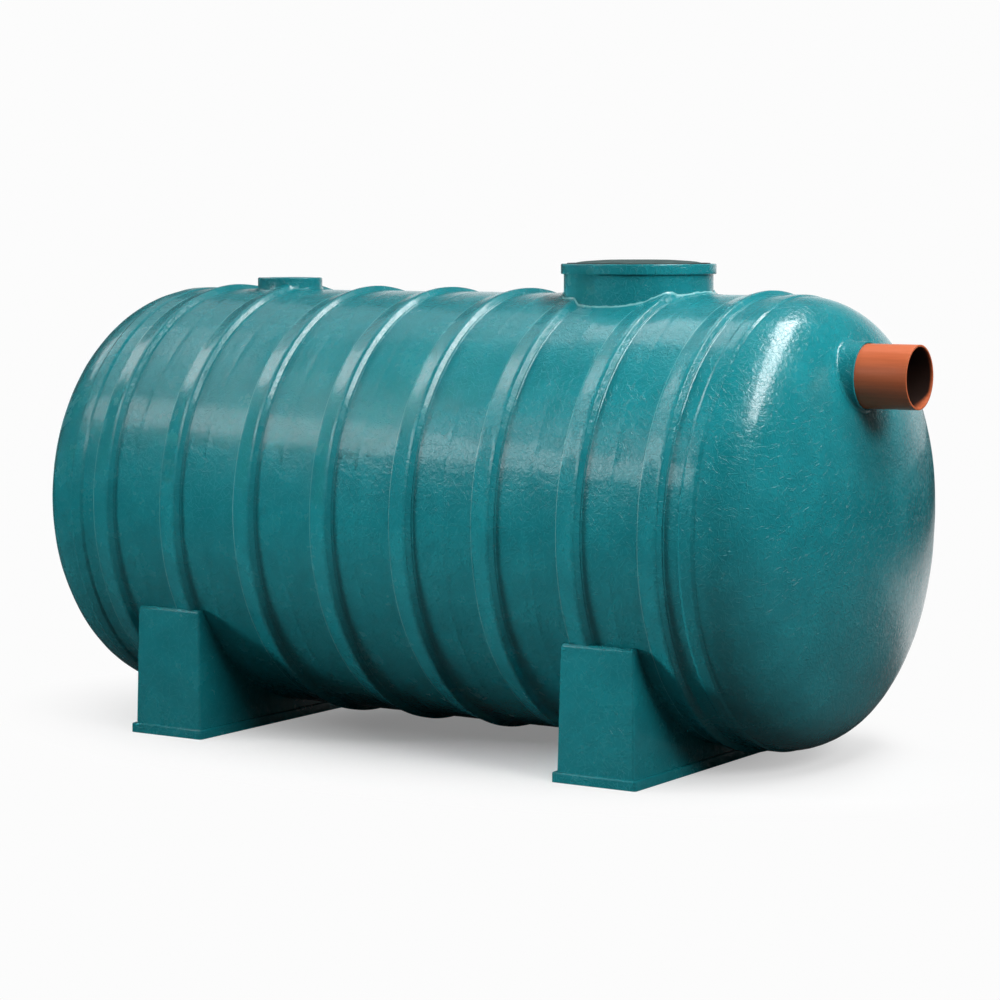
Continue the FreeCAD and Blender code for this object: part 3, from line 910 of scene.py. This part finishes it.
# %% Manway seal
seal_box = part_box("manway_seal")
SEAL_R = (seal_box[1].x - seal_box[0].x) / 2
SEAL_WEB = 0.004
SEAL_BEAD = 0.006
WEB_ROUND = 0.001
SEAL_ROUND = 0.0026
BEAD_R = SEAL_R - SEAL_BEAD
SEAL_FOOT = seal_box[0].z
SEAL_TOP = seal_box[1].z
seal = turn_upright("manway_gasket", MANWAY_X, [
    (LEDGE_R, SEAL_FOOT, 0), (LEDGE_R, SEAL_FOOT + SEAL_WEB, WEB_ROUND),
    (BEAD_R, SEAL_FOOT + SEAL_WEB, WEB_ROUND),
    (BEAD_R, SEAL_TOP, SEAL_ROUND), (SEAL_R, SEAL_TOP, SEAL_ROUND), (SEAL_R, SEAL_FOOT, 0)])
fit_piece(seal, rubber, "rubber", "manway_seal")

# %% [markdown]
# The cover is a pressed disc with a slight crown, so that rain runs off it. A flattened dome would bulge
# evenly. Here the outline rises from the edge, bends twice over wide rounds, and is flat in the middle.

# %% Manway cover
cover_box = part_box("manway_cover")
COVER_R = (cover_box[1].x - cover_box[0].x) / 2
COVER_FOOT = cover_box[0].z
COVER_TOP = cover_box[1].z
COVER_CROWN = 0.018
COVER_DROP = 0.001
FOOT_ROUND = 0.001
COVER_EDGE = 0.0025
COVER_STEP = 0.06
BEND_R, BEND_RISE, BEND_ROUND = 0.82 * COVER_R, 0.62 * COVER_CROWN, 0.25
FLAT_R, FLAT_ROUND = 0.45 * COVER_R, 0.6
cover = turn_upright("manway_lid", MANWAY_X, [
    (0, COVER_FOOT, 0), (COVER_R, COVER_FOOT, FOOT_ROUND), (COVER_R, COVER_TOP - COVER_DROP, COVER_EDGE),
    (BEND_R, COVER_TOP + BEND_RISE, BEND_ROUND), (FLAT_R, COVER_TOP + COVER_CROWN, FLAT_ROUND),
    (0, COVER_TOP + COVER_CROWN, 0)], COVER_STEP)
fit_piece(cover, cover_grey, "cover", "manway_cover")

# %% [markdown]
# The small neck ends in a lip that narrows its mouth. It is a flat ring with a bevelled outer edge and a
# short spigot that locates it in the tube, turned in the same way as the rim.

# %% Lip of the small neck
LIP_BORE = 0.094
LIP_BEVEL = 0.004
LIP_SPIGOT = 0.004
LIP_ROUND = 0.003
SPIGOT_ROUND = 0.002
LIP_FLAT = NECK_R - LIP_BEVEL
LIP_FOOT = lip_box[0].z
LIP_TOP = lip_box[1].z
lip = turn_upright("small_neck_mouth", NECK_X, [
    (LIP_BORE, LIP_FOOT - LIP_SPIGOT, SPIGOT_ROUND), (LIP_BORE, LIP_TOP, LIP_ROUND),
    (LIP_FLAT, LIP_TOP, LIP_ROUND),
    (NECK_R, LIP_TOP - LIP_BEVEL, LIP_ROUND), (NECK_R, LIP_FOOT, 0), (NECK_BORE, LIP_FOOT - LIP_SPIGOT, 0)])
fit_piece(lip, gelcoat, "gelcoat", "small_neck_lip")

# %% [markdown]
# The drain pipe is orange-brown plastic with faint lines from its extrusion. Inside, shade is painted dark
# into the bore, apart from the mouth and a paler tongue along its floor, where light falls further in. Two
# materials would meet in a hard line. In one material, the distance from the pipe's axis tells bore from
# outside, and the depth from its end fades the painted shade in.

# %% Drain pipe finish
PIPE_WALL = 0.0077
PIPE_BORE = PIPE_R - PIPE_WALL
PIPE_START, PIPE_END = pipe_box[0].x, pipe_box[1].x
PIPE_DARK = (0.520, 0.122, 0.046, 1)
PIPE_LIGHT = (0.600, 0.150, 0.060, 1)
# painted shade: the dark colour laid into the bore, where shade falls inside the pipe
PIPE_PAINTED_SHADE = (0.006, 0.009, 0.009, 1)
PIPE_ROUGH = (0.30, 0.40)
LINE_STRETCH = (4, 90, 90)
LINE_NOISE = {"Scale": 1.0, "Detail": 4.0}
LINE_BUMP, LINE_DEPTH = 0.4, 0.0003
BORE_FADE = (PIPE_BORE + 0.002, PIPE_BORE + 0.001)
TONGUE_FADE = (-0.45 * PIPE_R, -0.95 * PIPE_R)
TONGUE_LENGTH = 4.0
PAINTED_SHADE_FADE = (0.001, 0.014)
PAINTED_SHADE_COVERS = 0.97


def make_pipe_finish():
    """Orange-brown plastic with faint lines along it, and painted shade darkening the bore behind its mouth.
    """
    material, tree, shader = new_material("drain_brown")
    place = add_node(tree, "ShaderNodeTexCoord").outputs["Object"]
    about_axis = vectors(tree, "SUBTRACT", place, (0, PIPE_Y, PIPE_Z))
    radius = vectors(tree, "LENGTH", vectors(tree, "MULTIPLY", about_axis, (0, 1, 1)))
    stretched = vectors(tree, "MULTIPLY", place, LINE_STRETCH)
    lines = add_node(tree, "ShaderNodeTexNoise", {"Vector": stretched, **LINE_NOISE}).outputs["Fac"]
    plastic = blend_colours(tree, soft_step(tree, lines, *NOISE_RANGE), PIPE_DARK, PIPE_LIGHT)
    bore = soft_step(tree, radius, *BORE_FADE)
    along = add_node(tree, "ShaderNodeSeparateXYZ", [place]).outputs["X"]
    height = add_node(tree, "ShaderNodeSeparateXYZ", [about_axis]).outputs["Z"]
    # Painted shade in the bore: it deepens with depth from the mouth and reaches less far along the floor,
    # where light falls in.
    tongue = soft_step(tree, height, *TONGUE_FADE, 1.0, TONGUE_LENGTH)
    depth = maths(tree, "DIVIDE", maths(tree, "SUBTRACT", PIPE_END, along), tongue)
    deep = soft_step(tree, depth, *PAINTED_SHADE_FADE)
    painted_shade = maths(tree, "MULTIPLY", bore, maths(tree, "MULTIPLY", deep, PAINTED_SHADE_COVERS))
    tree.links.new(blend_colours(tree, painted_shade, plastic, PIPE_PAINTED_SHADE), shader.inputs["Base Color"])
    tree.links.new(soft_step(tree, lines, *NOISE_RANGE, *PIPE_ROUGH), shader.inputs["Roughness"])
    relief = add_node(tree, "ShaderNodeBump", {"Strength": LINE_BUMP, "Distance": LINE_DEPTH,
                                               "Height": lines})
    tree.links.new(relief.outputs["Normal"], shader.inputs["Normal"])
    return material


pipe_brown = make_pipe_finish()
print("pipe finish:", pipe_brown.name)

# %% [markdown]
# The pipe itself is a cut length, bonded through the collar. A cylinder with a Solidify modifier would do,
# but its sawn end is lightly broken with a file, so its wall is drawn as an outline with tiny rounds and spun
# round the pipe's own axis.

# %% Drain pipe
PIPE_STEP = 0.05
HIDDEN_ROUND = 0.001
END_ROUND_OUT, END_ROUND_IN = 0.0014, 0.0012
pipe = draw_outline("pipe_stub", [
    (PIPE_START, PIPE_Z + PIPE_BORE, 0), (PIPE_START, PIPE_Z + PIPE_R, HIDDEN_ROUND),
    (PIPE_END, PIPE_Z + PIPE_R, END_ROUND_OUT), (PIPE_END, PIPE_Z + PIPE_BORE, END_ROUND_IN)], PIPE_STEP)
bpy.ops.mesh.select_all(action="SELECT")
bpy.ops.transform.translate(value=(0, PIPE_Y, 0))
spin_outline((0, PIPE_Y, PIPE_Z), (1, 0, 0), SMALL_STEPS)
smooth(pipe)
fit_piece(pipe, pipe_brown, "pipe", "drain_pipe")

# %% [markdown]
# Saddles and foot plates are blocks. A block starts as a cube at the size of its solid, and the edges that
# are drawn in or bevelled are selected by their place and direction. What repeats is modelled once and
# copied along the tank, with its own mesh.

# %% Tools for blocks
LEVEL_SLACK = 0.001
NEARLY_ALONG = 0.9


def select_edges(piece, wanted):
    """Selects the edges, in edit mode, for which wanted(middle, direction) is true."""
    bpy.ops.mesh.select_mode(type="EDGE")
    bpy.ops.mesh.select_all(action="DESELECT")
    sheet = bmesh.from_edit_mesh(piece.data)
    for edge in sheet.edges:
        ends = [vertex.co for vertex in edge.verts]
        edge.select = bool(wanted((ends[0] + ends[1]) / 2, (ends[1] - ends[0]).normalized()))
    sheet.select_flush_mode()
    bmesh.update_edit_mesh(piece.data)


def block_in_box(name, low, high):
    clear_selection()
    bpy.ops.mesh.primitive_cube_add(size=1, location=(low + high) / 2, scale=high - low)
    bpy.ops.object.transform_apply(location=True, rotation=True, scale=True)
    bpy.context.object.name = name
    bpy.ops.object.mode_set(mode="EDIT")
    return bpy.context.object


def copy_along(piece, name, shift):
    """A copy with its own mesh, moved along the tank, with its place in its mesh."""
    pick(piece)
    bpy.ops.object.duplicate()
    bpy.ops.transform.translate(value=(shift, 0, 0))
    bpy.ops.object.transform_apply(location=True, rotation=False, scale=False)
    bpy.context.object.name = name
    return bpy.context.object


SADDLE_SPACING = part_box("saddle_right")[0].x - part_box("saddle_left")[0].x
print("saddles %.3f m apart, ribs %.3f m apart" % (SADDLE_SPACING, RIB_X[6] - RIB_X[1]))

# %% [markdown]
# Each saddle is a drafted block with a bevelled brow, hollowed to the barrel and grooved for the rib that
# runs through it. Its top is drawn in, the corners and the brow are bevelled, and a turned copy of the
# barrel's outside, the bed, is cut out of it, so that the groove fits the rib exactly.

# %% Saddles
SADDLE_DRAFT = 0.010
SADDLE_BEVEL = 0.016
SADDLE_CORNER = 0.010
BROW_ROUND = 0.004
BED_BITE = 0.002
BED_REACH = 0.4


def make_bed(middle_x, rib_x):
    """The barrel's outside with one rib, a little inside its own place, as a cutter."""
    skin = AXIS_Z + (TANK_R - BED_BITE)
    left, right = middle_x - BED_REACH, middle_x + BED_REACH
    outline = [(left, AXIS_Z, 0), (left, skin, 0)]
    outline += rib_corners(rib_x, -BED_BITE)
    outline += [(right, skin, 0), (right, AXIS_Z, 0)]
    bed = draw_outline("bed", outline)
    spin_about_tank()
    return bed


def make_saddle(name, node, rib_x):
    low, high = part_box(node)
    middle = (low + high) / 2
    size = high - low
    block = block_in_box(name, low, high)
    select_edges(block, lambda place, way: place.z > high.z - LEVEL_SLACK)
    drawn_in = ((size.x - 2 * SADDLE_DRAFT) / size.x, (size.y - 2 * SADDLE_DRAFT) / size.y, 1)
    bpy.ops.transform.resize(value=drawn_in, center_override=(middle.x, middle.y, high.z))
    select_edges(block, lambda place, way: abs(way.x) > NEARLY_ALONG and place.z > high.z - LEVEL_SLACK)
    bpy.ops.mesh.bevel(offset=SADDLE_BEVEL, offset_type="WIDTH", segments=1)
    select_edges(block, lambda place, way: abs(way.x) < NEARLY_ALONG and abs(way.y) < NEARLY_ALONG)
    bpy.ops.mesh.bevel(offset=SADDLE_CORNER, segments=4)
    select_edges(block, lambda place, way: abs(way.x) > NEARLY_ALONG and place.z > middle.z)
    bpy.ops.mesh.bevel(offset=BROW_ROUND, segments=3)
    bpy.ops.mesh.select_all(action="SELECT")
    bpy.ops.mesh.normals_make_consistent(inside=False)
    bpy.ops.object.mode_set(mode="OBJECT")
    bed = make_bed(middle.x, rib_x)
    use_modifier(block, "BOOLEAN", object=bed, operation="DIFFERENCE", solver="EXACT")
    bpy.data.objects.remove(bed)
    smooth(block, BLOCK_ANGLE)
    return block


saddle_left = make_saddle("saddle_block_left", "saddle_left", RIB_X[1])
saddle_right = copy_along(saddle_left, "saddle_block_right", SADDLE_SPACING)
fit_piece(saddle_left, gelcoat, "gelcoat", "saddle_left")
fit_piece(saddle_right, gelcoat, "gelcoat", "saddle_right")

# %% [markdown]
# A foot plate spreads the load of its saddle on the ground. It is a flat block with rounded corners and a
# rounded brim; the corners are bevelled first, so that the brim runs round them in one line.

# %% Foot plates
PLATE_CORNER = 0.014
PLATE_BRIM = 0.008


def make_plate(name, node):
    low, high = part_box(node)
    plate = block_in_box(name, low, high)
    select_edges(plate, lambda place, way: abs(way.z) > NEARLY_ALONG)
    bpy.ops.mesh.bevel(offset=PLATE_CORNER, segments=5)
    select_edges(plate, lambda place, way: place.z > high.z - LEVEL_SLACK)
    bpy.ops.mesh.bevel(offset=PLATE_BRIM, segments=4)
    close_piece()
    smooth(plate, BLOCK_ANGLE)
    return plate


foot_left = make_plate("foot_left_plate", "foot_plate_left")
foot_right = copy_along(foot_left, "foot_right_plate", SADDLE_SPACING)
fit_piece(foot_left, gelcoat, "gelcoat", "foot_plate_left")
fit_piece(foot_right, gelcoat, "gelcoat", "foot_plate_right")

# %% [markdown]
# The camera stands in front and to the right, a little above the tank's axis, with a long lens. Its place
# was found from the ribs, the joint bands and the saddles' corners in the photograph. Two level directions
# are kept from it, away from the camera and to its left, because the studio is laid out along them.

# %% Camera
barrel_middle = Vector(((JOINT_X[0] + JOINT_X[1]) / 2, 0, 0))
CAMERA_PLACE = barrel_middle + Vector((6.7044, -10.2511, 2.1046))
CAMERA_TARGET = barrel_middle + Vector((0.0816, 0.0, 0.9895))
CAMERA_LENS = 104.6
CAMERA_SENSOR = 36
camera_data = bpy.data.cameras.new("view")
camera_data.lens = CAMERA_LENS
camera_data.sensor_width = CAMERA_SENSOR
camera = bpy.data.objects.new("view", camera_data)
camera.location = CAMERA_PLACE
camera.rotation_euler = (CAMERA_TARGET - CAMERA_PLACE).to_track_quat("-Z", "Y").to_euler()
bpy.context.scene.collection.objects.link(camera)
bpy.context.scene.camera = camera
view_way = (CAMERA_TARGET - CAMERA_PLACE).normalized()
AHEAD = (view_way.x, view_way.y, 0.0)
LEFTWARD = (-view_way.y, view_way.x, 0.0)
print("camera %.2f m away" % (CAMERA_TARGET - CAMERA_PLACE).length)

# %% [markdown]
# The tank stands on a pale floor in a studio. Close to the tank the floor is lit and takes the shadow.
# Further out, what the camera sees fades into the white of the background, so that no horizon shows. In the
# gelcoat, a strip of that white floor is mirrored behind the right half of the tank, and the rest is dim.

# %% Floor
WHITE = 0.973
FLOOR_SIZE = 160.0
FLOOR_TONE = 0.90
FLOOR_BOUNCE = 0.10
LIT_POOL = (2.7, 1.6, 1.0)
POOL_FADE = (0.2, 0.95)
POOL_VEIL = 0.22
BEHIND_FADE = (0.2, 1.5)
ROLL_LEFT = (1.0, 0.0)
ROLL_RIGHT = (-6.0, -3.0)


def make_floor_finish():
    material = bpy.data.materials.new("studio_floor")
    material.use_nodes = True
    tree = material.node_tree
    tree.nodes.clear()
    place = add_node(tree, "ShaderNodeTexCoord").outputs["Object"]
    path = add_node(tree, "ShaderNodeLightPath").outputs
    away = vectors(tree, "LENGTH", vectors(tree, "DIVIDE", place, LIT_POOL))
    lit = add_node(tree, "ShaderNodeBsdfDiffuse", {"Color": grey(FLOOR_TONE)})
    white = add_node(tree, "ShaderNodeEmission", {"Color": grey(WHITE), "Strength": 1.0})
    veil = soft_step(tree, away, *POOL_FADE, POOL_VEIL, 1.0)
    seen = add_node(tree, "ShaderNodeMixShader", {0: veil, 1: lit.outputs[0], 2: white.outputs[0]})
    bounce = add_node(tree, "ShaderNodeBsdfDiffuse", {"Color": grey(FLOOR_BOUNCE)})
    behind = soft_step(tree, vectors(tree, "DOT_PRODUCT", place, AHEAD), *BEHIND_FADE)
    aside = vectors(tree, "DOT_PRODUCT", place, LEFTWARD)
    roll = maths(tree, "MULTIPLY", soft_step(tree, aside, *ROLL_LEFT), soft_step(tree, aside, *ROLL_RIGHT))
    mirrored = maths(tree, "MULTIPLY", path["Is Glossy Ray"], maths(tree, "MULTIPLY", behind, roll))
    straight = maths(tree, "MAXIMUM", path["Is Camera Ray"], path["Is Transmission Ray"])
    shown = maths(tree, "MAXIMUM", straight, mirrored)
    both = add_node(tree, "ShaderNodeMixShader", {0: shown, 1: bounce.outputs[0], 2: seen.outputs[0]})
    add_node(tree, "ShaderNodeOutputMaterial", {"Surface": both.outputs[0]})
    return material


clear_selection()
bpy.ops.mesh.primitive_plane_add(size=FLOOR_SIZE, location=(0, 0, 0))
floor = bpy.context.object
floor.name = "studio_floor"
floor.data.materials.append(make_floor_finish())
floor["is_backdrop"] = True
print("floor of %.0f m" % FLOOR_SIZE)

# %% [markdown]
# Nine soft lights shape the tank. Two strips beside the barrel, up in front of it, draw the bright lines
# along its shoulder, three boxes over it light the bays and the ribs on top, and a strip over the right end
# gives the streak on the knuckle. The key from the left, the overhead light and the fill from the right model
# the form. They would add highlights that the tank doesn't show, so they are kept out of reflections. Such a
# light is also sampled as a lamp only, because mixed sampling would let some of its reflection back in.

# %% Lights
def soft_light(name, place, aim, along, size, radiance, reflected=True, spread=180):
    """Rectangular light of one radiance, whatever its size, with its first side along a direction. One that
    isn't reflected lights the matt part of a finish only."""
    place, aim = Vector(place), Vector(aim)
    data = bpy.data.lights.new(name, "AREA")
    data.shape = "RECTANGLE"
    data.size, data.size_y = size
    data.energy = radiance * math.pi * size[0] * size[1]
    data.spread = math.radians(spread)
    lamp = bpy.data.objects.new(name, data)
    back = (place - aim).normalized()
    side = (Vector(along) - Vector(along).dot(back) * back).normalized()
    turn = Matrix((side, back.cross(side), back)).transposed()
    lamp.matrix_world = Matrix.Translation(place) @ turn.to_4x4()
    lamp.visible_glossy = reflected
    data.cycles.use_multiple_importance_sampling = reflected
    bpy.context.scene.collection.objects.link(lamp)
    print("%s: %.0f W" % (name, data.energy))


soft_light("strip", (-3.2, -4.65, 4.02), (0.0, -0.8, 1.2), (0.84, -0.405, -0.28), (4.7, 1.1), 3.9)
soft_light("upper_strip", (-3.6, -3.5, 5.4), (0.0, -0.6, 1.4), (2.7, -1.3, -1.6), (5.4, 1.6), 0.8)
soft_light("left_box", (-6.0, 0.0, 5.8), (1.5, 0.0, 1.5), (0, 1, 0), (2.2, 3.0), 0.40, spread=60)
soft_light("top_box", (-1.8, 1.7, 6.5), (1.0, 0.0, 1.7), (0, 1, 0), (2.2, 1.2), 2.4)
soft_light("wide_box", (-4.6, 2.2, 6.5), (-0.5, 0.0, 1.7), (0, 1, 0), (3.2, 4.2), 0.5)
soft_light("overhead", (-3.5, 1.9, 6.5), (-1.0, 0.0, 1.2), (0, 1, 0), (4.0, 3.4), 1.0, reflected=False)
soft_light("knuckle_strip", (3.2, 0.05, 6.1), (1.6, -0.4, 1.5), (3.4, -4.6, -0.2), (6.8, 1.3), 13.0)
soft_light("key", (-8.7, -5.2, 2.4), (1.4, -0.9, 0.8), (0, 0, 1), (2.4, 2.0), 1.9, reflected=False, spread=26)
soft_light("right_fill", (9.0, -2.9, 5.8), (1.6, 0.0, 1.0), (0, 1, 0), (3.0, 3.0), 16.5, reflected=False)

# %% [markdown]
# The world stands for the studio's walls and ceiling. It is white to the camera. As light and in reflections
# it is a pale panel low behind the right half of the tank, with a dark front and a dark ceiling, as a studio
# is. A ray's direction, measured along the two level directions and upwards, tells which of them it meets.

# %% World
WORLD_PANEL = 0.9
WORLD_FRONT = 0.07
WORLD_CEILING = 0.14
CEILING_FADE = (0.08, 0.50)
PANEL_AHEAD = (0.60, 0.97)
PANEL_ASIDE = (0.20, 0.0)
BACKDROP_FADE = (0.32, 0.08)


def make_world():
    world = bpy.data.worlds.new("studio")
    world.use_nodes = True
    tree = world.node_tree
    tree.nodes.clear()
    ray = add_node(tree, "ShaderNodeTexCoord").outputs["Generated"]
    path = add_node(tree, "ShaderNodeLightPath").outputs
    ahead = vectors(tree, "DOT_PRODUCT", ray, AHEAD)
    aside = vectors(tree, "DOT_PRODUCT", ray, LEFTWARD)
    height = add_node(tree, "ShaderNodeSeparateXYZ", [ray]).outputs["Z"]
    low = soft_step(tree, height, *CEILING_FADE, 1.0, WORLD_CEILING)
    panel_aside = soft_step(tree, aside, *PANEL_ASIDE)
    panel = maths(tree, "MULTIPLY", soft_step(tree, ahead, *PANEL_AHEAD), panel_aside)
    level = maths(tree, "MULTIPLY", soft_step(tree, panel, 0.0, 1.0, WORLD_FRONT, WORLD_PANEL), low)
    studio = add_node(tree, "ShaderNodeBackground", {"Color": grey(1.0), "Strength": level})
    plain = add_node(tree, "ShaderNodeBackground", {"Color": grey(WHITE), "Strength": 1.0})
    backdrop = maths(tree, "MULTIPLY", panel, soft_step(tree, height, *BACKDROP_FADE))
    mirrored = maths(tree, "MULTIPLY", path["Is Glossy Ray"], backdrop)
    straight = maths(tree, "MAXIMUM", path["Is Camera Ray"], path["Is Transmission Ray"])
    shown = maths(tree, "MAXIMUM", straight, mirrored)
    either = add_node(tree, "ShaderNodeMixShader", {0: shown, 1: studio.outputs[0], 2: plain.outputs[0]})
    add_node(tree, "ShaderNodeOutputWorld", {"Surface": either.outputs[0]})
    return world


bpy.context.scene.world = make_world()
print("world set, panel %.2f, front %.2f, ceiling %.2f" % (WORLD_PANEL, WORLD_FRONT, WORLD_CEILING))

# %% [markdown]
# Colours are shown as they are written, with the Standard view. Last, the box of the dressed tank is measured
# and printed beside the box of the imported model.

# %% View settings and sizes
bpy.context.scene.view_settings.view_transform = "Standard"
clear_selection()
bpy.context.view_layer.update()
visual_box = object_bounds()
for label, (low, high) in (("cad", cad_box), ("visual", visual_box)):
    print(label, [round(value, 4) for value in low], [round(value, 4) for value in high])
